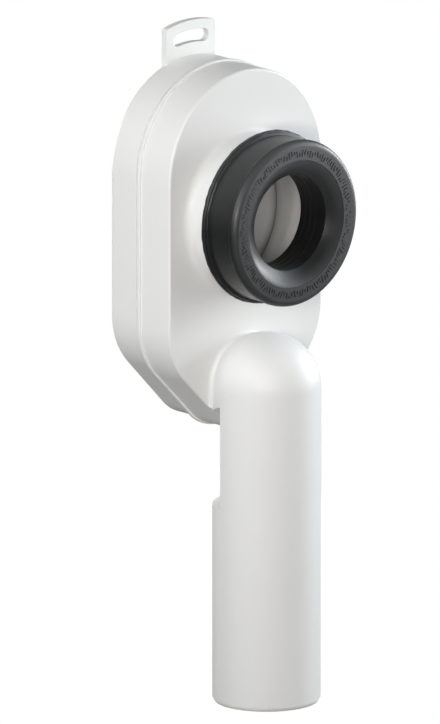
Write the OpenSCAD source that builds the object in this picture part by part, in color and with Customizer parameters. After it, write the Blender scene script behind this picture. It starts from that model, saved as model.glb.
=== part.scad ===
// Urinal trap with a horizontal push-on inlet and a vertical outlet pipe.
// Frame: origin on the inlet's axis, in the plane of the seal's rear edge. +X right, +Y back, +Z up.

/* [Housing] */
// Width across the housing, which is also the diameter of its round top
body_w = 96; // [92:1:104]
// Height of the round top's centre above the inlet's axis
top_rise = 19; // [14:1:28]
// Radius of the shoulders, where the sides turn into the sloping flanks
shoulder_r = 36; // [30:1:38]
// Depth of the shoulders' centres below the inlet's axis
shoulder_drop = 49.7; // [47:0.1:54]
// Radius of the nose at the foot of the housing
nose_r = 22; // [20:0.5:24]
// Depth of the nose's centre below the inlet's axis
nose_drop = 81.5; // [80:0.5:86]
// Thickness of the moulded walls
wall = 2.6; // [2:0.1:3]
// Distance from the seal's rear edge back to the front face
face_y = 12.5; // [10:0.5:16]
// Depth of the front shell, from its face to the partition plate
front_depth = 19.3; // [17:0.1:24]
// Depth of the rear shell, from the partition plate to its back
rear_depth = 19; // [16:0.5:26]
// Radius of the front shell's outer edge
front_round = 1.2; // [0.8:0.1:3]
// Radius of the rear shell's outer edge
rear_round = 3; // [1:0.5:4]
// How far the rear shell's flanks lie inside the front shell's
rear_tuck = 1.6; // [0:0.1:2]

/* [Partition plate] */
// Thickness of the plate welded between the shells
plate_t = 2; // [1.6:0.1:3]
// How far the plate's edge stands proud of the front shell
ridge = 1; // [0.5:0.1:1.6]
// Width of the shadow groove beside the plate's edge
groove_w = 0.8; // [0.4:0.1:1.2]
// Depth of the shadow groove
groove_d = 0.7; // [0.3:0.1:1]

/* [Inlet socket] */
// Outer radius of the socket tube
socket_r = 36; // [35:0.5:38]
// Wall of the socket tube
socket_wall = 3.8; // [3:0.1:4.5]
// How far the socket tube reaches in front of the seal's rear edge
socket_reach = 17; // [14:0.5:20]
// Radius of the blend between the socket tube and the front face
socket_fillet = 4; // [2:0.5:6]
// Inner radius of the round pocket behind the socket
pocket_r = 37; // [35.5:0.5:38]
// Thickness of the ribs inside the housing
rib_t = 2.2; // [1.6:0.1:2.8]

/* [Inlet seal] */
// Radius of the hole that grips the spigot
seal_bore_r = 22.5; // [20:0.5:25]
// Wall of the inner sleeve
sleeve_t = 3; // [2:0.5:4]
// Wall of the outer skirt
skirt_t = 2.6; // [2:0.1:4]
// Clearance between the skirt and the socket tube
seal_gap = 0.1; // [0.05:0.05:0.3]
// Thickness of the seal's front wall
seal_front_t = 4.8; // [3.5:0.1:7]
// Outer radius of the funnel in the front wall
funnel_r = 29.9; // [28:0.1:31]
// Depth of the funnel
funnel_d = 4.3; // [2:0.1:6]
// How far the flat band round the funnel stands in front of it
band_step = 0.3; // [0.2:0.1:0.8]
// How sharply the funnel turns into its lip, where 1 is a straight cone
flare = 1.3; // [1:0.1:3]
// Radius of the section of the rear bead
bead_r = 1.6; // [1.2:0.1:3]
// How far the rear bead stands out of the skirt
bead_proud = 2.2; // [1:0.1:2.4]
// Radius of the rounded front rim
rim_r = 3; // [1.2:0.1:3.5]
// How far the front rim stands out of the skirt
rim_proud = 0.5; // [0.2:0.1:1]

/* [Water way] */
// Radius of the hole in the partition plate, behind the inlet
transfer_r = 18; // [14:1:20]
// Depth below the inlet's axis at which the chute's walls leave the sides
chute_top_drop = 8; // [6:1:12]
// Half width inside the chute where its walls turn down
chute_neck_x = 15; // [13:1:16]
// Depth of that turn below the inlet's axis
chute_neck_drop = 46; // [44:1:50]
// Half width inside the chute at the dip edge
chute_tip_x = 8; // [6:1:10]
// Depth of the dip edge below the inlet's axis
dip_drop = 89; // [84:1:91]
// Height from the dip edge up to the sills of the overflow windows
seal_depth = 48; // [44:1:50]
// Height of the overflow windows
window_h = 16; // [10:1:18]

/* [Outlet] */
// Outer diameter of the outlet pipe
pipe_d = 50; // [48:1:52]
// Wall of the outlet pipe
pipe_wall = 1.8; // [1.6:0.1:3]
// Distance of the pipe's axis in front of the seal's rear edge
pipe_forward = 1.5; // [0:0.5:4]
// How much bigger the dome and the neck are than the pipe, on the radius
neck_swell = 0.3; // [0.2:0.1:0.6]
// Length over which the neck narrows to the pipe
taper_len = 6; // [3:1:12]
// Depth of the dome's centre below the inlet's axis
dome_drop = 80.5; // [78:0.5:84]
// Radius of the blend between the dome and the front face
dome_fillet = 2.5; // [1:0.5:4]
// Distance of the neck's flat back behind the pipe's axis
neck_back = 4.8; // [3:0.1:8]
// Depth at which the neck becomes a full round pipe
neck_drop = 136.2; // [125:0.1:150]
// Depth of the pipe's open end below the inlet's axis
pipe_end_drop = 229.4; // [200:0.1:280]
// Length of the chamfer at the pipe's end
chamfer_len = 2; // [1:0.5:4]
// How far that chamfer goes into the wall
chamfer_in = 1.2; // [0.6:0.1:1.4]

/* [Hanging lug] */
// Width of the lug
lug_w = 31; // [29:1:40]
// Thickness of the lug
lug_t = 3.4; // [2.5:0.1:5]
// Height of the lug's arched top above the housing
lug_rise = 17; // [15:0.5:24]
// Radius of the lug's arched top
lug_arch_r = 55; // [40:1:80]
// Corner radius of the lug
lug_corner = 2; // [1:0.5:3]
// Length of the slot
slot_w = 22; // [18:1:23]
// Height of the slot
slot_h = 5.9; // [4.5:0.1:7]
// Material above the slot
slot_bridge = 4.7; // [3:0.1:6]

/* [Hidden] */
$fn = 96;
HULL_FN = 64;
// Overlap that joins solids of one piece, and by which a cut runs past a face
e = 0.5;
// How far the dome's blend cuts into the dome, so that the two cross
blend_bite = 0.06;

half_w = body_w / 2;
// The rear shell's nose is a little rounder than the front shell's
rear_nose_r = nose_r + 1;
rear_nose_drop = nose_drop - 1 - rear_tuck;
plate_y = face_y + front_depth;
rear_y = plate_y + plate_t;
back_y = rear_y + rear_depth;

socket_in_r = socket_r - socket_wall;
// The pocket hangs from the top of the socket's bore and reaches lower than it
pocket_z = socket_in_r + 0.3 - pocket_r;
pocket_out_r = pocket_r + rib_t;

skirt_in_r = socket_r + seal_gap;
skirt_r = skirt_in_r + skirt_t;
seal_front_y = -socket_reach - seal_front_t;
sleeve_front_y = seal_front_y + funnel_d;
rim_y = seal_front_y + rim_r;

sill_z = seal_depth - dip_drop;
// Distance kept between a window's edge and the walls beside it
window_margin = 1.6;

pipe_r = pipe_d / 2;
pipe_y = -pipe_forward;
neck_r = pipe_r + neck_swell;
duct_in_r = pipe_r - pipe_wall;
neck_y = pipe_y + neck_back;

house_top_z = top_rise + half_w;
lug_top_z = house_top_z + lug_rise;
arch_z = lug_top_z - lug_arch_r;
slot_mid_r = lug_arch_r - slot_bridge - slot_h / 2;
slot_half_angle = asin((slot_w - slot_h) / 2 / slot_mid_r);

// Centre and radius of each round part of an outline, as [x, z, radius]
function front_rounds() = [
    [0, top_rise, half_w],
    [half_w - shoulder_r, -shoulder_drop, shoulder_r],
    [shoulder_r - half_w, -shoulder_drop, shoulder_r],
    [0, -nose_drop, nose_r]
];
function rear_rounds() = [
    [0, top_rise, half_w],
    [half_w - shoulder_r + rear_tuck, rear_tuck - shoulder_drop, shoulder_r - rear_tuck],
    [shoulder_r - rear_tuck - half_w, rear_tuck - shoulder_drop, shoulder_r - rear_tuck],
    [0, -rear_nose_drop, rear_nose_r]
];

// Outline through the given rounds, each made smaller by inset, drawn as seen from the front
module outline(rounds, inset = 0) {
    hull()
        for (c = rounds)
            translate([c[0], c[1]])
                circle(c[2] - inset, $fn = HULL_FN);
}

// Extrudes an outline drawn as seen from the front, from y0 back to y1
module slab(y0, y1) {
    translate([0, y1, 0])
        rotate([90, 0, 0])
            linear_extrude(y1 - y0)
                children();
}

// Revolves a section drawn as [radius, y] about the inlet's axis
module about_inlet() {
    rotate([-90, 0, 0])
        rotate_extrude()
            children();
}

// A disc whose far edge is rounded, standing on its flat side
module rounded_disc(r, depth, round) {
    rotate_extrude($fn = HULL_FN) {
        square([r - round, depth]);
        square([r, depth - round]);
        translate([r - round, depth - round])
            intersection() {
                circle(round, $fn = 24);
                square(round);
            }
    }
}

// Solid half of the housing, open side at its base and rounded edge at the far side
module half_body(rounds, depth, round, inset = 0) {
    hull()
        for (c = rounds)
            translate([c[0], 0, c[1]])
                rotate([90, 0, 0])
                    rounded_disc(c[2] - inset, depth, round);
}

// Quarter round between a tube of radius r and a face at y, as a section
module blend_section(r, y, size) {
    difference() {
        translate([r - e, y - size])
            square([size + e, size + e]);
        translate([r + size, y - size])
            circle(size);
        translate([r + size, y - size])
            square([e, size]);
    }
}

// Unit vector along v, and the same turned a quarter turn to the left
function unit(v) = v / norm(v);
function left_of(v) = [-unit(v)[1], unit(v)[0]];
// Corner b of the path a, b, c, moved by t to the left of both of its sides
function mitre(a, b, c, t) =
    let (first = left_of(b - a), middle = unit(first + left_of(c - b)))
    b + middle * t / (middle * first);

// The outlet's round form: a dome and a neck, which narrows to a straight vertical pipe of radius r
module duct(r, bottom_z) {
    translate([0, pipe_y, -dome_drop])
        sphere(r + neck_swell);
    translate([0, pipe_y, taper_len - neck_drop])
        cylinder(r = r + neck_swell, h = neck_drop - taper_len - dome_drop);
    translate([0, pipe_y, -neck_drop])
        cylinder(r1 = r, r2 = r + neck_swell, h = taper_len);
    translate([0, pipe_y, bottom_z])
        cylinder(r = r, h = -neck_drop - bottom_z);
}

// The duct with its back cut flat at flat_y above flat_z, and whole inside the housing's outline
module flattened_duct(r, bottom_z, flat_y, flat_z, inset) {
    difference() {
        duct(r, bottom_z);
        translate([-2 * pipe_r, flat_y, flat_z])
            cube([4 * pipe_r, 2 * pipe_r, -flat_z]);
    }
    intersection() {
        duct(r, bottom_z);
        slab(flat_y - e, face_y + wall)
            outline(front_rounds(), inset);
    }
}

// Section of the blend between the dome and the front face: it touches both along a ball's round
module dome_blend_section() {
    ball = [
        sqrt(pow(neck_r + dome_fillet - blend_bite, 2) - pow(face_y - dome_fillet - pipe_y, 2)),
        face_y - dome_fillet
    ];
    touch = [0, pipe_y] + (ball - [0, pipe_y]) * neck_r / (neck_r + dome_fillet);
    difference() {
        polygon([
            touch,
            [touch[0] - 2 * dome_fillet, touch[1]],
            [touch[0] - 2 * dome_fillet, face_y + e],
            [ball[0], face_y + e],
            [ball[0], face_y]
        ]);
        translate(ball)
            circle(dome_fillet);
    }
}

// Soft blend round the top of the dome and down both sides of the pipe, on the front face
module dome_blend() {
    translate([0, 0, -dome_drop])
        rotate([-90, 0, 0])
            rotate([0, 0, 180])
                rotate_extrude(angle = 180)
                    dome_blend_section();
    intersection() {
        translate([0, 0, -nose_drop - nose_r])
            linear_extrude(nose_drop + nose_r - dome_drop) {
                dome_blend_section();
                mirror([1, 0])
                    dome_blend_section();
            }
        // Clipped just inside the edge of the flat face
        slab(pipe_y, face_y + wall)
            outline(front_rounds(), front_round + 0.3);
    }
}

module duct_outside() {
    chamfer_z = chamfer_len - pipe_end_drop;
    flattened_duct(pipe_r, chamfer_z, neck_y, -neck_drop, 0);
    translate([0, pipe_y, -pipe_end_drop])
        cylinder(r1 = pipe_r - chamfer_in, r2 = pipe_r, h = chamfer_len);
}

module duct_inside() {
    flattened_duct(duct_in_r, -pipe_end_drop - e, neck_y - wall, -neck_drop - wall, wall);
}

module front_shell() {
    color("whitesmoke")
        difference() {
            union() {
                difference() {
                    translate([0, plate_y, 0])
                        half_body(front_rounds(), front_depth, front_round);
                    translate([0, plate_y + e, 0])
                        half_body(front_rounds(), front_depth - wall + e, front_round / 2, wall);
                }
                // Ring rib round the inlet pocket
                slab(face_y + wall - e, plate_y)
                    translate([0, pocket_z])
                        difference() {
                            circle(pocket_out_r);
                            circle(pocket_r);
                        }
                slab(-socket_reach, face_y + wall / 2)
                    circle(socket_r);
                about_inlet()
                    blend_section(socket_r, face_y, socket_fillet);
                duct_outside();
                dome_blend();
            }
            slab(-socket_reach - e, face_y + wall + 0.01)
                circle(socket_in_r);
            duct_inside();
        }
}

// One wall of the chute: from the side of the housing inwards, then down to the dip edge
module chute_wall() {
    side = [half_w - wall / 2, -chute_top_drop];
    neck = [chute_neck_x, -chute_neck_drop];
    tip = [chute_tip_x, -dip_drop];
    polygon([
        side,
        neck,
        tip,
        tip + left_of(tip - neck) * rib_t,
        mitre(side, neck, tip, rib_t),
        side + left_of(neck - side) * rib_t
    ]);
}

module hanging_lug() {
    corner_z = arch_z + sqrt(pow(lug_arch_r - lug_corner, 2) - pow(lug_w / 2 - lug_corner, 2));
    slab(back_y - lug_t, back_y)
        difference() {
            intersection() {
                translate([0, arch_z])
                    circle(lug_arch_r, $fn = 240);
                union() {
                    translate([lug_corner - lug_w / 2, top_rise])
                        square([lug_w - 2 * lug_corner, lug_top_z]);
                    translate([-lug_w / 2, top_rise])
                        square([lug_w, corner_z - top_rise]);
                    for (side = [-1, 1])
                        translate([side * (lug_w / 2 - lug_corner), corner_z])
                            circle(lug_corner);
                }
            }
            // Only the part of the lug above the inside of the housing is kept
            outline(rear_rounds(), wall / 2);
            translate([0, arch_z])
                hanger_slot();
        }
}

// Arched slot with round ends, about the centre of the lug's arch
module hanger_slot() {
    reach = 2 * lug_arch_r;
    intersection() {
        difference() {
            circle(slot_mid_r + slot_h / 2, $fn = 240);
            circle(slot_mid_r - slot_h / 2, $fn = 240);
        }
        polygon([
            [0, 0],
            [-reach * sin(slot_half_angle), reach * cos(slot_half_angle)],
            [reach * sin(slot_half_angle), reach * cos(slot_half_angle)]
        ]);
    }
    for (side = [-1, 1])
        rotate(side * slot_half_angle)
            translate([0, slot_mid_r])
                circle(slot_h / 2);
}

module rear_shell() {
    color("whitesmoke") {
        difference() {
            translate([0, rear_y, 0])
                mirror([0, 1, 0])
                    half_body(rear_rounds(), rear_depth, rear_round);
            translate([0, rear_y - e, 0])
                mirror([0, 1, 0])
                    half_body(rear_rounds(), rear_depth - wall + e, rear_round / 2, wall);
            // Shadow groove beside the plate's edge
            difference() {
                slab(rear_y - e, rear_y + groove_w)
                    square(4 * pipe_end_drop, center = true);
                slab(rear_y - 2 * e, rear_y + groove_w + e)
                    outline(rear_rounds(), groove_d);
            }
        }
        slab(rear_y, back_y - wall + e) {
            chute_wall();
            mirror([1, 0])
                chute_wall();
        }
        hanging_lug();
    }
}

// One overflow window, between the ring rib, the chute's wall and the housing's side
module overflow_window() {
    intersection() {
        difference() {
            outline(front_rounds(), wall + window_margin);
            translate([0, pocket_z])
                circle(pocket_out_r + window_margin);
        }
        translate([chute_neck_x + rib_t + 6 * window_margin, sill_z])
            square([half_w, window_h]);
    }
}

module partition_plate() {
    color("whitesmoke")
        slab(plate_y, rear_y)
            difference() {
                outline(front_rounds(), -ridge);
                translate([0, pocket_z])
                    circle(transfer_r);
                overflow_window();
                mirror([1, 0])
                    overflow_window();
            }
}

// Points on a round of radius r about c, from angle a0 to a1
function arc(c, r, a0, a1) = [for (i = [0:8]) let (a = a0 + (a1 - a0) * i / 8) c + r * [cos(a), sin(a)]];

// Trumpet-shaped wall of the funnel, from its lip out to the band
function funnel_wall() = [
    for (i = [0:8])
        [
            seal_bore_r + (funnel_r - seal_bore_r) * i / 8,
            seal_front_y + band_step + (funnel_d - band_step) * pow(1 - i / 8, flare)
        ]
];

module inlet_seal() {
    rim_c = [skirt_r + rim_proud - rim_r, rim_y];
    bead_c = [skirt_r + bead_proud - bead_r, -bead_r];
    color([0.13, 0.13, 0.13])
        about_inlet()
            polygon(concat(
                funnel_wall(),
                [[funnel_r, seal_front_y]],
                arc(rim_c, rim_r, -90, acos(1 - rim_proud / rim_r)),
                arc(bead_c, bead_r, -acos(1 - bead_proud / bead_r), 90),
                // Inside of the skirt that grips the socket tube, then the sleeve that grips the spigot
                [
                    [skirt_in_r, 0],
                    [skirt_in_r, -socket_reach],
                    [seal_bore_r + sleeve_t, -socket_reach],
                    [seal_bore_r + sleeve_t, 0],
                    [seal_bore_r, 0]
                ]
            ));
}

front_shell();
rear_shell();
partition_plate();
inlet_seal();
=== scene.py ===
"""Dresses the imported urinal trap: moulded shells, rubber seal, white stage, soft light and camera."""

import math

import bmesh
import bpy
from mathutils import Matrix, Vector, noise


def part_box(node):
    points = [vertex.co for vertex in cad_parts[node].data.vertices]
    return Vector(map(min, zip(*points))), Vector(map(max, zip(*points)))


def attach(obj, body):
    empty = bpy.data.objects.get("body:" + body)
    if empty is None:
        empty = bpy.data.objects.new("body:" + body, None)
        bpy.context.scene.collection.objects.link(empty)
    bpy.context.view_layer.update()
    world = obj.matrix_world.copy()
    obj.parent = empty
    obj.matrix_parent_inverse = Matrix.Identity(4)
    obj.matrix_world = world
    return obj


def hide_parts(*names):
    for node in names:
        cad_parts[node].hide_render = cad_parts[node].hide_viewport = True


bl_info = {
    "name": "Urinal Trap Dresser",
    "version": (1, 0, 0),
    "blender": (4, 5, 0),
    "location": "3D View > Sidebar > Trap",
    "description": "Models the shells, the seal and the finishes of a urinal trap around its packed frame",
    "category": "Object",
}

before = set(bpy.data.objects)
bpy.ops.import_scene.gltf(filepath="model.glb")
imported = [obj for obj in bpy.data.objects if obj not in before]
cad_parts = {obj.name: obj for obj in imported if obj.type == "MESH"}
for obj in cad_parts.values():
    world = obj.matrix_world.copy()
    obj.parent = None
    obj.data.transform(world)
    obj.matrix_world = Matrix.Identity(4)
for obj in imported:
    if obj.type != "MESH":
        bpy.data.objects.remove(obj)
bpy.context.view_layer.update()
BODY = "root"

FRONT_LOW, FRONT_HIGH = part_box("front_shell")
REAR_LOW, REAR_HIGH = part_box("rear_shell")
PLATE_LOW, PLATE_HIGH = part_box("partition_plate")
SEAL_LOW, SEAL_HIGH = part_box("inlet_seal")

# Length by which a cut runs past the solid it cuts
PAST = 0.002
# Distance that keeps the walls of two solids from lying in each other
HAIR = 0.0001
# Half the width of a block that cuts across the whole housing
ACROSS = 0.06
# Largest angle between two points of a round outline
ARC_STEP = math.radians(2.5)
# Edges sharper than this are rounded on the duct and the lug
SHARP = math.radians(50)
GOLDEN_RATIO = 0.618034


def length(name, default, description):
    """A length in metres that the panel shows with its unit."""
    return bpy.props.FloatProperty(
        name=name, default=default, description=description, unit="LENGTH", precision=5
    )


def tint(name, default, description):
    """A colour that the panel shows as a swatch."""
    return bpy.props.FloatVectorProperty(
        name=name, default=default, description=description, subtype="COLOR", size=3, min=0.0, max=1.0
    )


def share(name, default, description):
    """A plain number from 0 to 1."""
    return bpy.props.FloatProperty(name=name, default=default, description=description, min=0.0, max=1.0)


class TrapHousing(bpy.types.PropertyGroup):
    """Sizes of the two moulded shells and of the plate between them."""

    wall: length("Wall", 0.0026, "Thickness of the moulded walls")
    top_rise: length("Top rise", 0.019, "Height of the round top's centre above the inlet's axis")
    shoulder_radius: length("Shoulder radius", 0.036, "Radius where the sides turn into the sloping flanks")
    shoulder_drop: length("Shoulder drop", 0.0497, "Depth of the shoulders' centres below the inlet's axis")
    nose_radius: length("Nose radius", 0.022, "Radius of the nose at the foot of the housing")
    nose_drop: length("Nose drop", 0.0815, "Depth of the nose's centre below the inlet's axis")
    rear_tuck: length("Rear tuck", 0.0016, "How far the rear shell's flanks lie inside the front shell's")
    rear_nose: length("Rear nose", 0.001, "How much bigger the radius of the rear shell's nose is")
    face_y: length("Face", 0.0125, "Distance of the front face behind the origin")
    front_round: length("Front edge", 0.0012, "Radius of the front shell's outer edge")
    rear_round: length("Rear edge", 0.003, "Radius of the rear shell's outer edge")
    ridge_round: length("Ridge edge", 0.0005, "Radius of the edges of the raised seam")
    groove_width: length("Groove width", 0.0008, "Width of the shadow groove beside the seam")
    groove_depth: length("Groove depth", 0.0003, "Depth of the shadow groove beside the seam")
    rib: length("Rib", 0.0022, "Thickness of the ribs inside the housing")
    rib_gap: length("Rib gap", 0.0006, "Gap between the pocket's rib and the partition plate")
    pocket_radius: length("Pocket radius", 0.037, "Inner radius of the round pocket behind the inlet")
    transfer_radius: length("Transfer hole", 0.018, "Radius of the hole in the partition plate")
    chute_side_drop: length("Chute top", 0.008, "Depth at which the chute's walls leave the housing's sides")
    chute_neck_x: length("Chute neck", 0.015, "Half width inside the chute where its walls turn down")
    chute_neck_drop: length("Chute neck drop", 0.046, "Depth of that turn below the inlet's axis")
    chute_tip_x: length("Chute tip", 0.008, "Half width inside the chute at the dip edge")
    dip_drop: length("Dip edge", 0.089, "Depth of the dip edge below the inlet's axis")
    window_sill: length("Window sill", 0.041, "Depth of the overflow windows' sills below the inlet's axis")
    window_height: length("Window height", 0.016, "Height of the overflow windows")
    window_margin: length("Window margin", 0.0016, "Distance between a window's edge and the walls beside it")
    colour: tint("Plastic", (0.80, 0.80, 0.785), "Colour of the moulded plastic")


class TrapInlet(bpy.types.PropertyGroup):
    """Sizes of the socket tube and of the rubber seal on it."""

    socket_radius: length("Socket radius", 0.036, "Outer radius of the socket tube")
    socket_wall: length("Socket wall", 0.0038, "Wall of the socket tube")
    socket_reach: length("Socket reach", 0.017, "How far the socket tube reaches in front of the origin")
    socket_fillet: length("Socket blend", 0.004, "Radius of the blend between the socket and the front face")
    seat_gap: length("Seat gap", 0.0001, "Clearance between the seal's skirt and the socket")
    skirt: length("Skirt", 0.0026, "Wall of the seal's outer skirt")
    bore_radius: length("Bore radius", 0.0225, "Radius of the hole that grips the spigot")
    sleeve: length("Sleeve", 0.003, "Wall of the inner sleeve")
    bore_edge: length("Bore edge", 0.0008, "Radius of the bore's rear edge")
    groove_half: length("Bore groove", 0.0005, "Half width of the three fine grooves in the bore")
    lip_edge: length("Lip edge", 0.0003, "Radius of the edge between the bore and the funnel")
    funnel_radius: length("Funnel radius", 0.0299, "Outer radius of the funnel in the front wall")
    funnel_depth: length("Funnel depth", 0.0043, "Depth of the funnel")
    band_step: length("Band step", 0.0003, "How far the flat band round the funnel stands in front of it")
    flare: share("Flare", 0.77, "Inverse of how sharply the funnel turns into its lip")
    bead_radius: length("Bead radius", 0.0016, "Radius of the section of the rear bead")
    bead_proud: length("Bead height", 0.0022, "How far the rear bead stands out of the skirt")
    rim_radius: length("Rim radius", 0.003, "Radius of the rounded front rim")
    rim_proud: length("Rim height", 0.0005, "How far the front rim stands out of the skirt")
    skirt_hollow: length("Skirt hollow", 0.00008, "How far the skirt's middle is drawn in")
    fine_step: length("Fine step", 0.0001, "Unit of the small steps and rounds of the rear flange")
    mark_count: bpy.props.IntProperty(
        name="Marks", default=126, description="Number of plain raised marks on the band"
    )
    mark_radius: length("Mark radius", 0.0332, "Radius of the circle on which the marks stand")
    mark_length: length("Mark length", 0.0034, "Length of the longest marks")
    mark_width: length("Mark width", 0.0006, "Width of a mark")
    mark_slant: bpy.props.FloatProperty(
        name="Mark slant", default=math.radians(20), description="Largest slant of a mark", subtype="ANGLE"
    )
    mark_height: length("Mark height", 0.0004, "How far a mark stands out of the band")
    edge_waver: length("Edge waver", 0.0005, "How far the moulded edge of the flange strays inwards")
    waver_scale: bpy.props.FloatProperty(
        name="Waver scale", default=420.0, description="Fineness of the flange's uneven edge"
    )
    colour: tint("Rubber", (0.0089, 0.0094, 0.0095), "Colour of the rubber")


class TrapOutlet(bpy.types.PropertyGroup):
    """Sizes of the dome, the flat-backed neck and the outlet pipe."""

    pipe_radius: length("Pipe radius", 0.025, "Outer radius of the outlet pipe")
    pipe_wall: length("Pipe wall", 0.0018, "Wall of the outlet pipe")
    neck_swell: length("Neck swell", 0.0003, "How much the dome and the neck exceed the pipe's radius")
    taper: length("Taper", 0.006, "Length over which the neck narrows to the pipe")
    forward: length("Forward", 0.0015, "Distance of the pipe's axis in front of the origin")
    dome_drop: length("Dome drop", 0.0805, "Depth of the dome's centre below the inlet's axis")
    dome_fillet: length("Dome blend", 0.0017, "Radius of the blend between the dome and the front face")
    blend_end: length("Blend end", 0.003, "Radius of the blend's lower ends")
    neck_back: length("Neck back", 0.0048, "Distance of the neck's flat back behind the pipe's axis")
    neck_drop: length("Neck drop", 0.1362, "Depth at which the neck becomes a full round pipe")
    neck_round: length("Neck edge", 0.0007, "Radius of the edges of the neck's flat back")
    chamfer_length: length("Chamfer length", 0.002, "Length of the chamfer at the pipe's end")
    chamfer_depth: length("Chamfer depth", 0.0012, "How far the chamfer goes into the wall")


class TrapLug(bpy.types.PropertyGroup):
    """Sizes of the hanging lug and its slot."""

    width: length("Width", 0.031, "Width of the lug")
    thickness: length("Thickness", 0.0034, "Thickness of the lug")
    arch_radius: length("Arch radius", 0.055, "Radius of the lug's arched top")
    corner: length("Corner", 0.002, "Corner radius of the lug")
    edge: length("Edge", 0.0004, "Radius of the lug's edges")
    slot_width: length("Slot width", 0.022, "Length of the slot")
    slot_height: length("Slot height", 0.0059, "Height of the slot")
    bridge: length("Bridge", 0.0047, "Material above the slot")


class TrapStage(bpy.types.PropertyGroup):
    """Camera, light and floor."""

    azimuth: bpy.props.FloatProperty(
        name="Azimuth", default=math.radians(-43), description="Turn of the camera from the front",
        subtype="ANGLE",
    )
    elevation: bpy.props.FloatProperty(
        name="Elevation", default=math.radians(14), description="Height of the camera's view", subtype="ANGLE"
    )
    distance: length("Distance", 1.6, "Distance of the camera from the point it looks at")
    view_height: length("View height", 0.33364, "Height of what the camera sees")
    aim: bpy.props.FloatVectorProperty(
        name="Aim", default=(0.0, 0.0299, -0.0749), description="Point in the middle of the picture",
        subtype="XYZ",
    )
    floor_size: length("Floor", 12.0, "Side of the floor")
    floor_bounce: share("Floor bounce", 0.22, "Share of the light that the floor gives back to the object")
    world_light: share("Sky", 0.28, "Strength of the even light from all round")
    world_tint: tint("Sky tint", (1.0, 0.95, 0.9), "Colour of the even light from all round")


def settings():
    """The scene's own property groups."""
    scene = bpy.context.scene
    return scene.trap_housing, scene.trap_inlet, scene.trap_outlet, scene.trap_lug, scene.trap_stage


def front_rounds(housing):
    """Centre and radius of each round of the front shell's outline, clockwise from the top."""
    half = FRONT_HIGH.x
    return outline_rounds(housing, half, 0.0, housing.nose_radius, housing.nose_drop)


def rear_rounds(housing):
    """The same for the rear shell, whose flanks lie further in and whose nose is rounder."""
    half = REAR_HIGH.x
    nose_radius = housing.nose_radius + housing.rear_nose
    nose_drop = housing.nose_drop - housing.rear_nose - housing.rear_tuck
    return outline_rounds(housing, half, housing.rear_tuck, nose_radius, nose_drop)


def outline_rounds(housing, half, tuck, nose_radius, nose_drop):
    """The outline's four rounds, as (x, z, radius)."""
    radius = housing.shoulder_radius - tuck
    shoulder_z = tuck - housing.shoulder_drop
    return [
        (0.0, housing.top_rise, half),
        (half - radius, shoulder_z, radius),
        (0.0, -nose_drop, nose_radius),
        (radius - half, shoulder_z, radius),
    ]


def tangent_angle(a, b):
    """Direction, from both centres, of the line that touches rounds a and b on their outer side."""
    across = Vector((b[0] - a[0], b[1] - a[1]))
    return math.atan2(across.y, across.x) + math.acos((a[2] - b[2]) / across.length)


def arc(bm, centre, radius, start, sweep, axis=(0, 1, 0), steps=None):
    """Spins one vertex about centre, in the plane square to axis, and returns the arc's vertices in order."""
    first = bm.verts.new(Vector(centre) + radius * direction(start, axis))
    count = steps or max(4, round(abs(sweep) / ARC_STEP))
    seen = set(bm.verts)
    turn = -sweep if axis[1] else sweep
    bmesh.ops.spin(bm, geom=[first], cent=centre, axis=axis, angle=turn, steps=count)
    return [first] + [v for v in bm.verts if v not in seen]


def direction(angle, axis):
    """Unit vector at an angle: in the XZ plane for a Y axis, in the XY plane for a Z axis."""
    if axis[1]:
        return Vector((math.cos(angle), 0.0, math.sin(angle)))
    return Vector((math.cos(angle), math.sin(angle), 0.0))


def close_path(bm, verts):
    """Joins vertices, in order, to a closed path and returns its edges."""
    edges = []
    for a, b in zip(verts, verts[1:] + verts[:1]):
        edges.append(bm.edges.get((a, b)) or bm.edges.new((a, b)))
    return edges


def outline_face(bm, rounds, inset, y):
    """One flat face with the outline's shape, at depth y."""
    verts = []
    for index, now in enumerate(rounds):
        before = rounds[index - 1]
        after = rounds[(index + 1) % len(rounds)]
        start = tangent_angle(before, now)
        end = tangent_angle(now, after)
        sweep = -((start - end) % (2 * math.pi))
        verts += arc(bm, (now[0], y, now[1]), now[2] - inset, start, sweep)
    return bm.faces.new(verts)


def lift(bm, faces, offset):
    """Extrudes faces by an offset and returns the moved faces."""
    made = bmesh.ops.extrude_face_region(bm, geom=list(faces))["geom"]
    verts = [g for g in made if isinstance(g, bmesh.types.BMVert)]
    bmesh.ops.translate(bm, verts=verts, vec=offset)
    return [g for g in made if isinstance(g, bmesh.types.BMFace)]


def prism(bm, rounds, inset, y0, y1, edge=0.0, segments=8):
    """A solid with the outline's shape from y0 to y1, its far edge rounded."""
    far = lift(bm, [outline_face(bm, rounds, inset, y0)], (0, y1 - y0, 0))
    if edge:
        bmesh.ops.bevel(
            bm, geom=list(far[0].edges), offset=edge, segments=segments,
            profile=0.5, affect="EDGES", material=-1, clamp_overlap=False,
        )


def seal_up(bm):
    """Merges doubles, closes what is open and turns every face outwards."""
    bmesh.ops.remove_doubles(bm, verts=bm.verts, dist=1e-7)
    rim = [e for e in bm.edges if e.is_boundary]
    if rim:
        bmesh.ops.holes_fill(bm, edges=rim, sides=0)
    bmesh.ops.recalc_face_normals(bm, faces=bm.faces)


def make_object(name, bm):
    """Turns a bmesh into an object at the origin."""
    seal_up(bm)
    mesh = bpy.data.meshes.new(name)
    bm.to_mesh(mesh)
    bm.free()
    obj = bpy.data.objects.new(name, mesh)
    bpy.context.scene.collection.objects.link(obj)
    return obj


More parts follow.
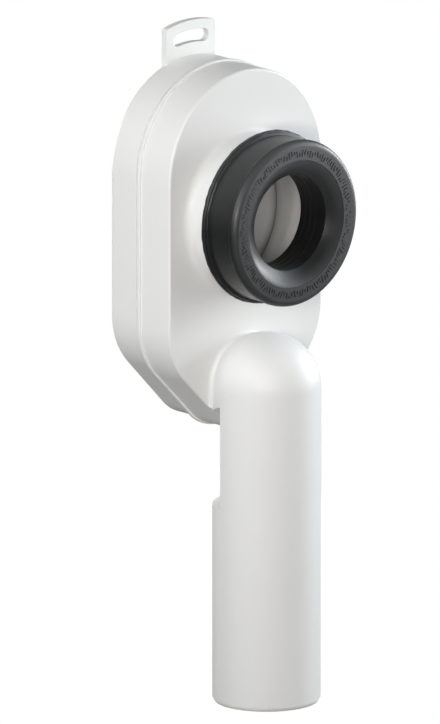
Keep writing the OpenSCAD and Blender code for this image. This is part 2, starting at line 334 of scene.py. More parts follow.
def combine(target, tool, operation):
    """Joins, cuts or intersects target with tool, and removes the tool."""
    modifier = target.modifiers.new(operation.title(), "BOOLEAN")
    modifier.operation = operation
    modifier.solver = "EXACT"
    modifier.object = tool
    bake_modifiers(target)
    tool_mesh = tool.data
    bpy.data.objects.remove(tool)
    bpy.data.meshes.remove(tool_mesh)
    return target


def bake_modifiers(obj):
    """Replaces an object's mesh by what its modifiers make of it."""
    bpy.context.view_layer.update()
    depsgraph = bpy.context.evaluated_depsgraph_get()
    mesh = bpy.data.meshes.new_from_object(obj.evaluated_get(depsgraph))
    old = obj.data
    obj.modifiers.clear()
    obj.data = mesh
    mesh.name = old.name
    bpy.data.meshes.remove(old)


def round_edges(obj, width, angle, segments=3):
    """Rounds the edges that are sharper than an angle."""
    modifier = obj.modifiers.new("Edges", "BEVEL")
    modifier.width = width
    modifier.segments = segments
    modifier.limit_method = "ANGLE"
    modifier.angle_limit = angle
    modifier.harden_normals = False
    bake_modifiers(obj)


def finish_piece(obj, material, node, crease=math.radians(32)):
    """Smooths a piece, gives it its material and ties it to the frame."""
    obj.data.materials.clear()
    obj.data.materials.append(material)
    obj.data.shade_smooth()
    obj.data.set_sharp_from_angle(angle=crease)
    weighted = obj.modifiers.new("Weighted", "WEIGHTED_NORMAL")
    weighted.keep_sharp = True
    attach(obj, BODY)
    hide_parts(node)


def solid_from_prism(name, rounds, inset, y0, y1, edge=0.0):
    """An outline's prism as an object of its own."""
    bm = bmesh.new()
    prism(bm, rounds, inset, y0, y1, edge)
    return make_object(name, bm)


def solid_box(name, low, high):
    """A plain cutting block between two corners."""
    bm = bmesh.new()
    low, high = Vector(low), Vector(high)
    centre = (low + high) / 2
    bmesh.ops.create_cube(bm, size=1.0)
    bmesh.ops.scale(bm, vec=high - low, verts=bm.verts)
    bmesh.ops.translate(bm, vec=centre, verts=bm.verts)
    return make_object(name, bm)


def plate_solid(name, points, y0, y1):
    """A polygon given as (x, z) points, from y0 back to y1."""
    bm = bmesh.new()
    lift(bm, [bm.faces.new([bm.verts.new((x, y0, z)) for x, z in points])], (0, y1 - y0, 0))
    return make_object(name, bm)


def spun(name, path, centre, axis, angle=2 * math.pi, steps=144):
    """Spins a closed or open path of points about an axis into a solid."""
    bm = bmesh.new()
    verts = [bm.verts.new(p) for p in path]
    close_path(bm, verts)
    bmesh.ops.spin(
        bm, geom=bm.verts[:] + bm.edges[:], cent=centre, axis=axis,
        angle=angle, steps=steps, use_merge=math.isclose(angle, 2 * math.pi),
    )
    return make_object(name, bm)


def curve(centre, radius, start, end, steps=10):
    """Points of a round stretch of a section, as pairs, between two angles in degrees."""
    points = []
    for index in range(steps + 1):
        angle = math.radians(start + (end - start) * index / steps)
        points.append((centre[0] + radius * math.cos(angle), centre[1] + radius * math.sin(angle)))
    return points


def about_inlet(section):
    """Section points given as (radius, y), placed beside the inlet's axis."""
    return [Vector((r, y, 0.0)) for r, y in section]


def node_socket(group, name, kind, way, default=None):
    """Adds a named socket to a shader group."""
    socket = group.interface.new_socket(name=name, in_out=way, socket_type=kind)
    if default is not None:
        socket.default_value = default
    return socket


def feed(links, socket, value):
    """Feeds a node's input from another node's output, or gives it a plain number."""
    if isinstance(value, bpy.types.NodeSocket):
        links.new(value, socket)
    else:
        socket.default_value = value


def maths(group, operation, *values):
    """A maths node fed by outputs or plain numbers; returns its output."""
    node = group.nodes.new("ShaderNodeMath")
    node.operation = operation
    for socket, value in zip(node.inputs, values):
        feed(group.links, socket, value)
    return node.outputs[0]


def ramp(group, value, start, full):
    """Rises from 0 where the value is start to 1 where it is full; returns the output."""
    node = group.nodes.new("ShaderNodeMapRange")
    for name, given in (("Value", value), ("From Min", start), ("From Max", full)):
        feed(group.links, node.inputs[name], given)
    return node.outputs["Result"]


def noise_texture(group, place, scale, detail, distortion=0.0):
    """A noise texture in the object's own coordinates; returns its output."""
    node = group.nodes.new("ShaderNodeTexNoise")
    for name, given in (("Vector", place), ("Scale", scale), ("Detail", detail), ("Distortion", distortion)):
        feed(group.links, node.inputs[name], given)
    return node.outputs["Fac"]


SKIN_INPUTS = {
    "Grain Scale": 900.0, "Grain Height": 0.2, "Flow Scale": 18.0, "Flow Contrast": 0.05,
    "Roughness": 0.4, "Roughness Spread": 0.05, "Corner Shade": 0.0, "Inside From": 0.0,
    "Inside Reach": 1.0, "Front Sheen": 0.0, "Front Sheen From": 0.0, "Front Sheen Full": -1.0,
    "Top Sheen": 0.0, "Top Sheen Height": 1.0,
}
# How far a wall darkens the surface beside it with painted shade, and how high the grain stands
CORNER_REACH = 0.005
GRAIN_DEPTH = 0.0001


def moulded_skin_group():
    """Shader group for a moulded surface: grain, flow marks, uneven gloss, painted shade in inner corners and
    painted sheen on the front and the top.
    """
    found = bpy.data.node_groups.get("Moulded Skin")
    if found:
        return found
    group = bpy.data.node_groups.new("Moulded Skin", "ShaderNodeTree")
    node_socket(group, "Colour", "NodeSocketColor", "INPUT", (0.8, 0.8, 0.8, 1.0))
    for name, default in SKIN_INPUTS.items():
        node_socket(group, name, "NodeSocketFloat", "INPUT", default)
    node_socket(group, "Colour", "NodeSocketColor", "OUTPUT")
    node_socket(group, "Roughness", "NodeSocketFloat", "OUTPUT")
    node_socket(group, "Normal", "NodeSocketVector", "OUTPUT")
    nodes, links = group.nodes, group.links
    entry = nodes.new("NodeGroupInput").outputs
    result = nodes.new("NodeGroupOutput").inputs
    place = nodes.new("ShaderNodeTexCoord").outputs["Object"]
    split = nodes.new("ShaderNodeSeparateXYZ")
    links.new(place, split.inputs[0])

    flow = noise_texture(group, place, entry["Flow Scale"], 4.0, 0.6)
    centred = maths(group, "SUBTRACT", flow, 0.5)
    tone = maths(group, "MULTIPLY_ADD", centred, entry["Flow Contrast"], 1.0)
    gloss = maths(group, "MULTIPLY_ADD", centred, entry["Roughness Spread"], entry["Roughness"])
    links.new(gloss, result["Roughness"])

    # Painted shade: inner corners inside the housing, near the inlet, are darkened in the colour by an
    # occlusion term
    corner = nodes.new("ShaderNodeAmbientOcclusion")
    corner.samples = 8
    corner.inputs["Distance"].default_value = CORNER_REACH
    hidden = maths(group, "SUBTRACT", 1.0, corner.outputs["AO"])
    away = nodes.new("ShaderNodeVectorMath")
    away.operation = "LENGTH"
    links.new(place, away.inputs[0])
    inside = maths(group, "GREATER_THAN", split.outputs["Y"], entry["Inside From"])
    near = maths(group, "LESS_THAN", away.outputs["Value"], entry["Inside Reach"])
    strength = maths(group, "MULTIPLY", entry["Corner Shade"], maths(group, "MULTIPLY", inside, near))
    shaded = maths(group, "SUBTRACT", tone, maths(group, "MULTIPLY", strength, hidden))

    # Painted sheen: the front is made paler, standing in for light that falls on it there
    ahead = ramp(group, split.outputs["Y"], entry["Front Sheen From"], entry["Front Sheen Full"])
    with_front_sheen = maths(group, "MULTIPLY_ADD", ahead, entry["Front Sheen"], shaded)
    # Painted sheen: the top is made paler, standing in for light from above
    high = ramp(group, split.outputs["Z"], 0.0, entry["Top Sheen Height"])
    with_top_sheen = maths(group, "MULTIPLY_ADD", high, entry["Top Sheen"], with_front_sheen)

    toned = nodes.new("ShaderNodeVectorMath")
    toned.operation = "SCALE"
    links.new(entry["Colour"], toned.inputs[0])
    links.new(with_top_sheen, toned.inputs["Scale"])
    links.new(toned.outputs[0], result["Colour"])

    bump = nodes.new("ShaderNodeBump")
    bump.inputs["Distance"].default_value = GRAIN_DEPTH
    links.new(entry["Grain Height"], bump.inputs["Strength"])
    links.new(noise_texture(group, place, entry["Grain Scale"], 3.0), bump.inputs["Height"])
    links.new(bump.outputs["Normal"], result["Normal"])
    return group


def moulded_material(name, colour, values):
    """A material whose skin comes from the shared group with its own values."""
    material = bpy.data.materials.new(name)
    material.use_nodes = True
    nodes, links = material.node_tree.nodes, material.node_tree.links
    shader = nodes["Principled BSDF"]
    skin = nodes.new("ShaderNodeGroup")
    skin.node_tree = moulded_skin_group()
    skin.inputs["Colour"].default_value = (*colour, 1.0)
    for key, value in values.items():
        skin.inputs[key].default_value = value
    links.new(skin.outputs["Colour"], shader.inputs["Base Color"])
    links.new(skin.outputs["Roughness"], shader.inputs["Roughness"])
    links.new(skin.outputs["Normal"], shader.inputs["Normal"])
    return material


def white_plastic(housing):
    """Satin white moulded plastic."""
    found = bpy.data.materials.get("white_plastic_skin")
    if found:
        return found
    values = {
        "Grain Scale": 1400.0, "Grain Height": 0.12, "Flow Scale": 22.0,
        "Flow Contrast": 0.035, "Roughness": 0.42, "Roughness Spread": 0.12,
        # Painted shade in the inner corners inside the housing
        "Corner Shade": 0.9, "Inside From": housing.face_y + housing.wall,
        "Inside Reach": math.hypot(housing.pocket_radius, PLATE_HIGH.y) + housing.rib,
    }
    material = moulded_material("white_plastic_skin", housing.colour, values)
    shader = material.node_tree.nodes["Principled BSDF"]
    shader.inputs["Specular IOR Level"].default_value = 0.45
    return material


def black_rubber(inlet):
    """Black moulded rubber, with painted sheen that makes it paler towards its front and its top."""
    values = {
        "Grain Scale": 1100.0, "Grain Height": 0.35, "Flow Scale": 60.0,
        "Flow Contrast": 0.6, "Roughness": 0.37, "Roughness Spread": 0.25,
        # Painted sheen and highlight, from partway down the funnel to full at the front
        "Front Sheen": 3.8, "Front Sheen From": SEAL_LOW.y + 0.6 * inlet.funnel_depth,
        "Front Sheen Full": SEAL_LOW.y - inlet.mark_height,
        # Painted sheen towards the top, standing in for light from above
        "Top Sheen": 4.0, "Top Sheen Height": SEAL_HIGH.z,
    }
    material = moulded_material("black_rubber_skin", inlet.colour, values)
    shader = material.node_tree.nodes["Principled BSDF"]
    shader.inputs["Specular IOR Level"].default_value = 0.42
    return material


def duct_solid(name, outlet, radius, bottom_z, chamfer=0.0):
    """A dome on a neck that narrows to a straight vertical pipe."""
    dome_z = -outlet.dome_drop
    neck = radius + outlet.neck_swell
    section = curve((0.0, dome_z), neck, 90, 0, 24)
    section[0] = (0.0, dome_z + neck)
    section += [(neck, outlet.taper - outlet.neck_drop), (radius, -outlet.neck_drop)]
    section.append((radius, bottom_z + (outlet.chamfer_length if chamfer else 0.0)))
    if chamfer:
        section.append((radius - chamfer, bottom_z))
    section.append((0.0, bottom_z))
    path = [Vector((r, -outlet.forward, z)) for r, z in section]
    return spun(name, path, (0, -outlet.forward, 0), (0, 0, 1))


def flat_backed_duct(name, housing, outlet, radius, bottom_z, flat_y, flat_z, inset, chamfer=0.0):
    """The duct with its back cut flat above flat_z, but whole where the housing's outline backs it."""
    duct = duct_solid(name, outlet, radius, bottom_z, chamfer)
    block = solid_box("neck_cutter", (-ACROSS, flat_y, flat_z), (ACROSS, ACROSS, 0.0))
    backing = solid_from_prism("neck_backing", front_rounds(housing), inset, flat_y - PAST, ACROSS + PAST)
    combine(block, backing, "DIFFERENCE")
    return combine(duct, block, "DIFFERENCE")


def blend_section(housing, outlet):
    """Section of the blend as (distance from the middle, y): a ball's round between the dome and the face."""
    bite = 0.6 * HAIR
    neck = outlet.pipe_radius + outlet.neck_swell
    ball_y = housing.face_y - outlet.dome_fillet
    ball_r = math.sqrt((neck + outlet.dome_fillet - bite) ** 2 - (ball_y + outlet.forward) ** 2)
    toward = math.degrees(math.atan2(-outlet.forward - ball_y, -ball_r)) % 360
    section = curve((ball_r, ball_y), outlet.dome_fillet, 90, toward, 10)
    inner = section[-1][0] - 2 * outlet.dome_fillet
    back = housing.face_y + PAST / 4
    return section + [(inner, section[-1][1]), (inner, back), (ball_r, back)]


def swept_on(bm, geometry, offset):
    """Extrudes a ring of edges by an offset and returns the new ring."""
    edges = [g for g in geometry if isinstance(g, bmesh.types.BMEdge)]
    made = bmesh.ops.extrude_edge_only(bm, edges=edges)["geom"]
    verts = [g for g in made if isinstance(g, bmesh.types.BMVert)]
    bmesh.ops.translate(bm, verts=verts, vec=offset)
    ends = set(verts)
    return verts + [g for g in made if isinstance(g, bmesh.types.BMEdge) and set(g.verts) <= ends]


def dome_blend(housing, outlet):
    """Soft blend between the dome and the front face: up one side of the pipe, over the dome and down."""
    dome_z = -outlet.dome_drop
    foot_z = -housing.nose_drop - housing.nose_radius
    bm = bmesh.new()
    verts = [bm.verts.new((r, y, foot_z)) for r, y in blend_section(housing, outlet)]
    ring = swept_on(bm, close_path(bm, verts), (0, 0, dome_z - foot_z))
    over = bmesh.ops.spin(bm, geom=ring, cent=(0, 0, dome_z), axis=(0, 1, 0), angle=-math.pi, steps=72)
    swept_on(bm, over["geom_last"], (0, 0, foot_z - dome_z))
    blend = make_object("dome_blend", bm)
    # Its lower ends are rounded off towards the flanks
    front_y = min(y for _, y in blend_section(housing, outlet)) - 2 * HAIR
    clip = solid_from_prism(
        "blend_clip", front_rounds(housing), 1.5 * HAIR, housing.face_y + PAST, front_y, outlet.blend_end
    )
    return combine(blend, clip, "INTERSECT")


def socket_solid(housing, inlet):
    """The socket tube as a solid, with its blend into the front face."""
    fillet = inlet.socket_fillet
    flare = curve((inlet.socket_radius + fillet, housing.face_y - fillet), fillet, 180, 90, 10)
    section = [(0.0, -inlet.socket_reach), (inlet.socket_radius, -inlet.socket_reach)]
    section += flare
    section += [(inlet.socket_radius + fillet, housing.face_y + PAST / 4), (0.0, housing.face_y + PAST / 4)]
    return spun("socket", about_inlet(section), (0, 0, 0), (0, 1, 0))


def ring_solid(name, centre_z, outer, inner, y0, y1):
    """A plain tube about a line along Y; with no inner radius it is a disc."""
    section = [(inner, y0), (outer, y0), (outer, y1), (inner, y1)]
    path = [Vector((r, y, centre_z)) for r, y in section]
    return spun(name, path, (0, 0, centre_z), (0, 1, 0))


def pocket_centre(housing, inlet):
    """Height of the round inlet pocket's centre."""
    return inlet.socket_radius - inlet.socket_wall + 3 * HAIR - housing.pocket_radius


class TRAP_OT_front_shell(bpy.types.Operator):
    """Model the front shell with its socket, dome, neck and outlet pipe"""

    bl_idname = "trap.front_shell"
    bl_label = "Front Shell"

    def execute(self, context):
        housing, inlet, outlet, _, _ = settings()
        rounds = front_rounds(housing)
        seam_y = PLATE_LOW.y
        inside_y = housing.face_y + housing.wall
        bottom = FRONT_LOW.z
        neck_y = outlet.neck_back - outlet.forward

        shell = solid_from_prism("front_shell_skin", rounds, 0.0, seam_y, housing.face_y, housing.front_round)
        combine(shell, socket_solid(housing, inlet), "UNION")
        duct = flat_backed_duct(
            "duct", housing, outlet, outlet.pipe_radius, bottom,
            neck_y, -outlet.neck_drop, HAIR, outlet.chamfer_depth,
        )
        round_edges(duct, outlet.neck_round, SHARP)
        combine(shell, duct, "UNION")
        combine(shell, dome_blend(housing, outlet), "UNION")
        cavity = solid_from_prism(
            "cavity", rounds, housing.wall, seam_y + PAST, inside_y, housing.front_round / 2
        )
        pocket_z = pocket_centre(housing, inlet)
        rib = ring_solid(
            "pocket_rib", pocket_z, housing.pocket_radius + housing.rib, housing.pocket_radius,
            inside_y - PAST / 2, seam_y - housing.rib_gap,
        )
        combine(cavity, rib, "DIFFERENCE")
        combine(shell, cavity, "DIFFERENCE")
        bore = ring_solid(
            "bore", 0.0, inlet.socket_radius - inlet.socket_wall, 0.0,
            -inlet.socket_reach - PAST, inside_y + 0.1 * HAIR,
        )
        combine(shell, bore, "DIFFERENCE")
        way = flat_backed_duct(
            "water_way", housing, outlet, outlet.pipe_radius - outlet.pipe_wall, bottom - PAST,
            neck_y - housing.wall, -outlet.neck_drop - housing.wall, housing.wall,
        )
        combine(shell, way, "DIFFERENCE")
        finish_piece(shell, white_plastic(housing), "front_shell")
        return {"FINISHED"}


def lug_solid(housing, lug):
    """The hanging lug: arched top, round corners and an arched slot."""
    back_y = REAR_HIGH.y
    top_z = REAR_HIGH.z
    arch_z = top_z - lug.arch_radius
    inner = lug.width / 2 - lug.corner
    corner_z = arch_z + math.sqrt((lug.arch_radius - lug.corner) ** 2 - inner ** 2)
    lean = math.asin(inner / (lug.arch_radius - lug.corner))
    # The arch stops a little short of the corner rounds, so that no two points coincide
    half = lean * 0.999
    bm = bmesh.new()
    y = back_y - lug.thickness
    foot_z = housing.top_rise + REAR_HIGH.x - 3 * housing.wall
    verts = [bm.verts.new((-lug.width / 2, y, foot_z))]
    verts += arc(bm, (-inner, y, corner_z), lug.corner, math.pi, lean - math.pi / 2, steps=8)
    verts += arc(bm, (0.0, y, arch_z), lug.arch_radius, math.pi / 2 + half, -2 * half, steps=24)
    verts += arc(bm, (inner, y, corner_z), lug.corner, math.pi / 2 - lean, lean - math.pi / 2, steps=8)
    verts.append(bm.verts.new((lug.width / 2, y, foot_z)))
    lift(bm, [bm.faces.new(verts)], (0, lug.thickness, 0))
    plate = make_object("lug", bm)

    middle = lug.arch_radius - lug.bridge - lug.slot_height / 2
    half_angle = math.asin((lug.slot_width - lug.slot_height) / 2 / middle)
    end_r = lug.slot_height / 2
    bm = bmesh.new()
    y = back_y - lug.thickness - PAST
    centre = (0.0, y, arch_z)
    left = math.pi / 2 + half_angle
    right = math.pi / 2 - half_angle
    verts = arc(bm, centre, middle + end_r, left, -2 * half_angle, steps=20)
    end = Vector(centre) + middle * direction(right, (0, 1, 0))
    verts += arc(bm, end, end_r, right, -math.pi, steps=14)[1:-1]
    verts += arc(bm, centre, middle - end_r, right, 2 * half_angle, steps=20)
    end = Vector(centre) + middle * direction(left, (0, 1, 0))
    verts += arc(bm, end, end_r, left - math.pi, -math.pi, steps=14)[1:-1]
    lift(bm, [bm.faces.new(verts)], (0, lug.thickness + 2 * PAST, 0))
    slot = make_object("lug_slot", bm)
    combine(plate, slot, "DIFFERENCE")
    round_edges(plate, lug.edge, SHARP, 2)
    return plate


def chute_walls(housing, y0, y1):
    """The two walls that lead the water down to the dip edge, which stand on the rear shell's back."""
    side = Vector((REAR_HIGH.x - housing.wall / 2, -housing.chute_side_drop))
    neck = Vector((housing.chute_neck_x, -housing.chute_neck_drop))
    tip = Vector((housing.chute_tip_x, -housing.dip_drop))
    upper = left_of(neck - side)
    lower = left_of(tip - neck)
    middle = (upper + lower).normalized()
    bend = neck + middle * (housing.rib / middle.dot(upper))
    outside = [tip + lower * housing.rib, bend, side + upper * housing.rib]
    path = [side, neck, tip] + outside
    return [
        plate_solid("chute_wall", [(x * turn, z) for x, z in path], y0, y1)
        for turn in (1, -1)
    ]


def left_of(vector):
    """Unit vector a quarter turn to the left."""
    return Vector((-vector.y, vector.x)).normalized()


class TRAP_OT_rear_shell(bpy.types.Operator):
    """Model the rear shell with its hanging lug"""

    bl_idname = "trap.rear_shell"
    bl_label = "Rear Shell"

    def execute(self, context):
        housing, _, _, lug, _ = settings()
        rounds = rear_rounds(housing)
        seam_y = PLATE_HIGH.y
        back_y = REAR_HIGH.y
        groove_y = seam_y + housing.groove_width
        shell = solid_from_prism("rear_shell_skin", rounds, 0.0, groove_y, back_y, housing.rear_round)
        lip = solid_from_prism("groove_lip", rounds, housing.groove_depth, seam_y, groove_y + PAST)
        combine(shell, lip, "UNION")
        combine(shell, lug_solid(housing, lug), "UNION")
        cavity = solid_from_prism(
            "cavity", rounds, housing.wall, seam_y - PAST, back_y - housing.wall, housing.rear_round / 2
        )
        for wall in chute_walls(housing, seam_y, back_y - housing.wall + PAST / 4):
            combine(cavity, wall, "DIFFERENCE")
        combine(shell, cavity, "DIFFERENCE")
        finish_piece(shell, white_plastic(housing), "rear_shell")
        return {"FINISHED"}


def overflow_windows(housing, inlet):
    """Cutters for the windows between the ring rib, the chute's walls and the housing's sides."""
    y0 = PLATE_LOW.y - PAST
    y1 = PLATE_HIGH.y + PAST
    sill = -housing.window_sill
    near = housing.chute_neck_x + housing.rib + 6 * housing.window_margin
    clear = housing.pocket_radius + housing.rib + housing.window_margin
    cutters = []
    for turn in (1, -1):
        corners = [(turn * x, z) for x in (near, FRONT_HIGH.x) for z in (sill, sill + housing.window_height)]
        low = [min(pair) for pair in zip(*corners)]
        high = [max(pair) for pair in zip(*corners)]
        window = solid_box("window", (low[0], y0, low[1]), (high[0], y1, high[1]))
        inside = solid_from_prism(
            "window_inside", front_rounds(housing), housing.wall + housing.window_margin, y0 - PAST, y1 + PAST
        )
        combine(window, inside, "INTERSECT")
        rib = ring_solid("window_rib", pocket_centre(housing, inlet), clear, 0.0, y0 - PAST, y1 + PAST)
        cutters.append(combine(window, rib, "DIFFERENCE"))
    return cutters


class TRAP_OT_partition_plate(bpy.types.Operator):
    """Model the plate between the shells, whose edge is the raised seam"""

    bl_idname = "trap.partition_plate"
    bl_label = "Partition Plate"

    def execute(self, context):
        housing, inlet, _, _, _ = settings()
        ridge = PLATE_HIGH.x - FRONT_HIGH.x
        plate = solid_from_prism(
            "partition_plate_skin", front_rounds(housing), -ridge, PLATE_LOW.y, PLATE_HIGH.y
        )
        round_edges(plate, housing.ridge_round, math.radians(60), 3)
        hole = ring_solid(
            "transfer", pocket_centre(housing, inlet), housing.transfer_radius, 0.0,
            PLATE_LOW.y - PAST, PLATE_HIGH.y + PAST,
        )
        combine(plate, hole, "DIFFERENCE")
        for window in overflow_windows(housing, inlet):
            combine(plate, window, "DIFFERENCE")
        finish_piece(plate, white_plastic(housing), "partition_plate")
        return {"FINISHED"}


# Places of the three fine grooves along the bore, and of the skirt's hollow
BORE_GROOVES = (-0.004, -0.0075, -0.011)
HOLLOW_FRONT = -0.0125
HOLLOW_BACK = -0.0065
FUNNEL_STEPS = 16


def seal_section(inlet):
    """The seal's section as (radius, y), once round from the bore's rear edge."""
    front = SEAL_LOW.y
    seat = inlet.socket_radius + inlet.seat_gap
    skirt = seat + inlet.skirt
    bore = inlet.bore_radius
    lip_y = front + inlet.funnel_depth
    rim_end = math.degrees(math.acos(1 - inlet.rim_proud / inlet.rim_radius))
    rim_centre = (skirt + inlet.rim_proud - inlet.rim_radius, front + inlet.rim_radius)

    round_off = inlet.bore_edge
    section = curve((bore + round_off, -round_off), round_off, 90, 180, 5)
    for ring_y in BORE_GROOVES:
        groove = inlet.groove_half
        section += [(bore, ring_y + groove), (bore + groove / 2, ring_y), (bore, ring_y - groove)]
    lip = inlet.lip_edge
    section += curve((bore + lip, lip_y + lip), lip, 180, 235, 4)
    section += funnel_points(inlet, front, lip_y)
    section += curve(rim_centre, inlet.rim_radius, -90, rim_end, 20)
    section += [(skirt - inlet.skirt_hollow, HOLLOW_FRONT), (skirt - 0.625 * inlet.skirt_hollow, HOLLOW_BACK)]
    section += flange_points(inlet, skirt)
    section += [(seat, 0.0), (seat, -inlet.socket_reach), (bore + inlet.sleeve, -inlet.socket_reach)]
    section += [(bore + inlet.sleeve, 0.0)]
    return section


def flange_points(inlet, skirt):
    """The rear flange: a fine raised line, a small groove and the rounded bead."""
    fine = inlet.fine_step
    outer = skirt + inlet.bead_proud
    front_round = 9 * fine
    back_round = 7 * fine
    line = outer - back_round
    line_y = -2 * inlet.bead_radius - 5 * fine
    points = [(skirt, line_y - 7 * fine), (skirt + 9 * fine, line_y - 4 * fine), (line, line_y - 2 * fine)]
    points += [(line + fine, line_y + 3 * fine), (line - 3 * fine, line_y + 6 * fine)]
    points += curve((outer - front_round, -22 * fine), front_round, -60, 0, 6)
    points += curve((outer - back_round, -15 * fine), back_round, 0, 90, 6)
    return points + [(skirt, -6 * fine), (skirt - 6 * fine, 0.0)]


def funnel_points(inlet, front, lip_y):
    """The trumpet-shaped funnel from its lip out to the small step up to the band."""
    floor = front + inlet.band_step
    start = inlet.bore_radius + inlet.lip_edge / 2
    points = []
    for index in range(1, FUNNEL_STEPS + 1):
        t = index / FUNNEL_STEPS
        radius = start + (inlet.funnel_radius - start) * t
        points.append((radius, floor + (lip_y - floor) * (1 - t) ** (1 / inlet.flare)))
    edge = inlet.band_step / 2
    return points + [(inlet.funnel_radius + edge / 5, front + edge), (inlet.funnel_radius + edge, front)]


def add_marks(seal, inlet):
    """Plain raised bars of mixed length and slant round the band, in place of the real seal's fine text."""
    front = SEAL_LOW.y
    bm = bmesh.new()
    bm.from_mesh(seal.data)
    for index in range(inlet.mark_count):
        # Steps of the golden ratio mix the lengths and slants without a pattern that repeats
        mix = index * GOLDEN_RATIO % 1.0
        long_mark = inlet.mark_length * (0.35 + 0.65 * mix)
        slack = inlet.mark_length - long_mark
        made = bmesh.ops.create_cube(bm, size=1.0)["verts"]
        bmesh.ops.scale(bm, verts=made, vec=(long_mark, 2 * inlet.mark_height, inlet.mark_width))
        slant = Matrix.Rotation(inlet.mark_slant * math.sin(7.0 * index), 3, "Y")
        bmesh.ops.rotate(bm, verts=made, cent=(0, 0, 0), matrix=slant)
        radius = inlet.mark_radius + 0.5 * slack * math.cos(5.0 * index)
        bmesh.ops.translate(bm, verts=made, vec=(radius, front, 0))
        turn = Matrix.Rotation(2 * math.pi * index / inlet.mark_count, 3, "Y")
        bmesh.ops.rotate(bm, verts=made, cent=(0, 0, 0), matrix=turn)
    bm.to_mesh(seal.data)
    bm.free()


def waver_flange(seal, inlet):
    """Lets the flange's moulded edge stray inwards a little, as trimmed rubber does."""
    skirt = inlet.socket_radius + inlet.seat_gap + inlet.skirt
    for vertex in seal.data.vertices:
        across = Vector((vertex.co.x, 0.0, vertex.co.z))
        if across.length > skirt + inlet.bead_proud / 2 and vertex.co.y > SEAL_LOW.y / 2:
            stray = 0.5 + 0.5 * noise.noise(vertex.co * inlet.waver_scale)
            vertex.co -= across.normalized() * inlet.edge_waver * stray


class TRAP_OT_inlet_seal(bpy.types.Operator):
    """Model the rubber seal: funnel, ring of raised marks, rim, skirt and rear bead"""

    bl_idname = "trap.inlet_seal"
    bl_label = "Inlet Seal"

    def execute(self, context):
        _, inlet, _, _, _ = settings()
        seal = spun("inlet_seal_rubber", about_inlet(seal_section(inlet)), (0, 0, 0), (0, 1, 0), steps=192)
        waver_flange(seal, inlet)
        add_marks(seal, inlet)
        finish_piece(seal, black_rubber(inlet), "inlet_seal", SHARP)
        return {"FINISHED"}


def seen_white(tree, dim, white, target):
    """Shows the white shader to the camera and gives the dim one to every other ray."""
    path = tree.nodes.new("ShaderNodeLightPath")
    mix = tree.nodes.new("ShaderNodeMixShader")
    tree.links.new(path.outputs["Is Camera Ray"], mix.inputs["Fac"])
    tree.links.new(dim, mix.inputs[1])
    tree.links.new(white, mix.inputs[2])
    tree.links.new(mix.outputs["Shader"], target)


def stage_material(name, bounce):
    """A surface that the camera sees as white and that returns only a share of the light to the object."""
    material = bpy.data.materials.new(name)
    material.use_nodes = True
    tree = material.node_tree
    dim = tree.nodes["Principled BSDF"]
    dim.inputs["Base Color"].default_value = (bounce, bounce, bounce, 1.0)
    dim.inputs["Roughness"].default_value = 0.9
    dim.inputs["Specular IOR Level"].default_value = 0.0
    white = tree.nodes.new("ShaderNodeEmission")
    target = tree.nodes["Material Output"].inputs["Surface"]
    seen_white(tree, dim.outputs["BSDF"], white.outputs["Emission"], target)
    return material


WHITE = (1.0, 1.0, 1.0)
WARM = (1.0, 0.945, 0.9)
COOL = (0.94, 0.975, 1.0)
DAYLIGHT = (0.76, 0.88, 1.0)
# Name, azimuth and elevation in degrees, distance and side in metres, watts, tint
LAMPS = (
    ("left_overhead", -65, 35, 1.6, 0.9, 3.5, DAYLIGHT),
    ("left_near", -95, 30, 0.7, 0.4, 1.85, COOL),
    ("right_near", 80, 12, 0.7, 0.3, 3.5, COOL),
    ("right_front", 60, 26, 0.6, 0.35, 0.9, DAYLIGHT),
    ("right_low", 50, 5, 0.6, 0.3, 0.85, COOL),
    ("front_small", -43, 14, 0.8, 0.15, 1.0, WARM),
    ("front_centre", -25, 8, 0.8, 0.15, 0.45, COOL),
    ("front_left", -55, 14, 0.8, 0.1, 1.35, WARM),
    ("behind", 178, 2, 1.2, 0.3, 4.5, WHITE),
)
LAMP_AIM = Vector((0.0, 0.02, -0.06))


def toward(azimuth, elevation):
    """Unit vector from the object towards a direction given in radians."""
    level = math.cos(elevation)
    return Vector((math.sin(azimuth) * level, -math.cos(azimuth) * level, math.sin(elevation)))


def soft_lamp(name, azimuth, elevation, distance, size, power, tint_colour):
    """A square lamp that faces the object from a direction."""
    lamp = bpy.data.lights.new(name, "AREA")
    lamp.shape = "SQUARE"
    lamp.size = size
    lamp.energy = power
    lamp.color = tint_colour
    obj = bpy.data.objects.new(name, lamp)
    bpy.context.scene.collection.objects.link(obj)
    way = toward(math.radians(azimuth), math.radians(elevation))
    obj.location = LAMP_AIM + way * distance
    obj.rotation_euler = way.to_track_quat("Z", "Y").to_euler()


def white_sky(world, strength, colour):
    """A world that the camera sees as plain white and that lights the object dimly and evenly."""
    world.use_nodes = True
    tree = world.node_tree
    dim = tree.nodes["Background"]
    dim.inputs["Color"].default_value = (*colour, 1.0)
    dim.inputs["Strength"].default_value = strength
    white = tree.nodes.new("ShaderNodeBackground")
    white.inputs["Color"].default_value = (*WHITE, 1.0)
    target = tree.nodes["World Output"].inputs["Surface"]
    seen_white(tree, dim.outputs["Background"], white.outputs["Background"], target)


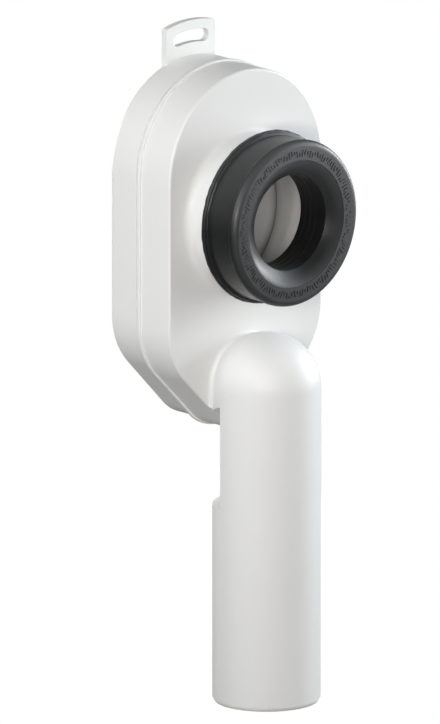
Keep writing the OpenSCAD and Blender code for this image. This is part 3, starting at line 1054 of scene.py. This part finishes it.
class TRAP_OT_stage(bpy.types.Operator):
    """Set up the camera, the floor and the soft light"""

    bl_idname = "trap.stage"
    bl_label = "Stage"

    def execute(self, context):
        stage = settings()[4]
        scene = context.scene
        floor_z = FRONT_LOW.z
        bm = bmesh.new()
        bmesh.ops.create_grid(bm, x_segments=1, y_segments=1, size=stage.floor_size / 2)
        bmesh.ops.translate(bm, verts=bm.verts, vec=(0, 0, floor_z))
        mesh = bpy.data.meshes.new("floor")
        bm.to_mesh(mesh)
        bm.free()
        floor = bpy.data.objects.new("floor", mesh)
        scene.collection.objects.link(floor)
        mesh.materials.append(stage_material("floor_white", stage.floor_bounce))

        world = scene.world or bpy.data.worlds.new("World")
        scene.world = world
        white_sky(world, stage.world_light, stage.world_tint)
        for lamp in LAMPS:
            soft_lamp(*lamp)

        camera = bpy.data.cameras.new("camera")
        camera.type = "ORTHO"
        camera.sensor_fit = "VERTICAL"
        camera.ortho_scale = stage.view_height
        camera.clip_end = 100.0
        obj = bpy.data.objects.new("camera", camera)
        scene.collection.objects.link(obj)
        way = toward(stage.azimuth, stage.elevation)
        obj.location = Vector(stage.aim) + way * stage.distance
        obj.rotation_euler = way.to_track_quat("Z", "Y").to_euler()
        scene.camera = obj
        scene.view_settings.view_transform = "Standard"
        return {"FINISHED"}


class TRAP_PT_panel(bpy.types.Panel):
    """Lists the pieces and the sizes that can be changed"""

    bl_idname = "TRAP_PT_panel"
    bl_label = "Urinal Trap"
    bl_space_type = "VIEW_3D"
    bl_region_type = "UI"
    bl_category = "Trap"

    def draw(self, context):
        layout = self.layout
        for operator in OPERATORS:
            layout.operator(operator.bl_idname)
        for group in settings():
            box = layout.box()
            for name in group.__annotations__:
                box.prop(group, name)


GROUPS = {
    "trap_housing": TrapHousing,
    "trap_inlet": TrapInlet,
    "trap_outlet": TrapOutlet,
    "trap_lug": TrapLug,
    "trap_stage": TrapStage,
}
OPERATORS = (
    TRAP_OT_stage,
    TRAP_OT_front_shell,
    TRAP_OT_rear_shell,
    TRAP_OT_partition_plate,
    TRAP_OT_inlet_seal,
)


def register():
    for cls in (*GROUPS.values(), *OPERATORS, TRAP_PT_panel):
        bpy.utils.register_class(cls)
    for name, cls in GROUPS.items():
        setattr(bpy.types.Scene, name, bpy.props.PointerProperty(type=cls))


def unregister():
    for name in GROUPS:
        delattr(bpy.types.Scene, name)
    for cls in reversed((*GROUPS.values(), *OPERATORS, TRAP_PT_panel)):
        bpy.utils.unregister_class(cls)


def main():
    """Builds every piece in order."""
    register()
    bpy.ops.trap.stage()
    bpy.ops.trap.front_shell()
    bpy.ops.trap.rear_shell()
    bpy.ops.trap.partition_plate()
    bpy.ops.trap.inlet_seal()


if __name__ == "__main__":
    main()
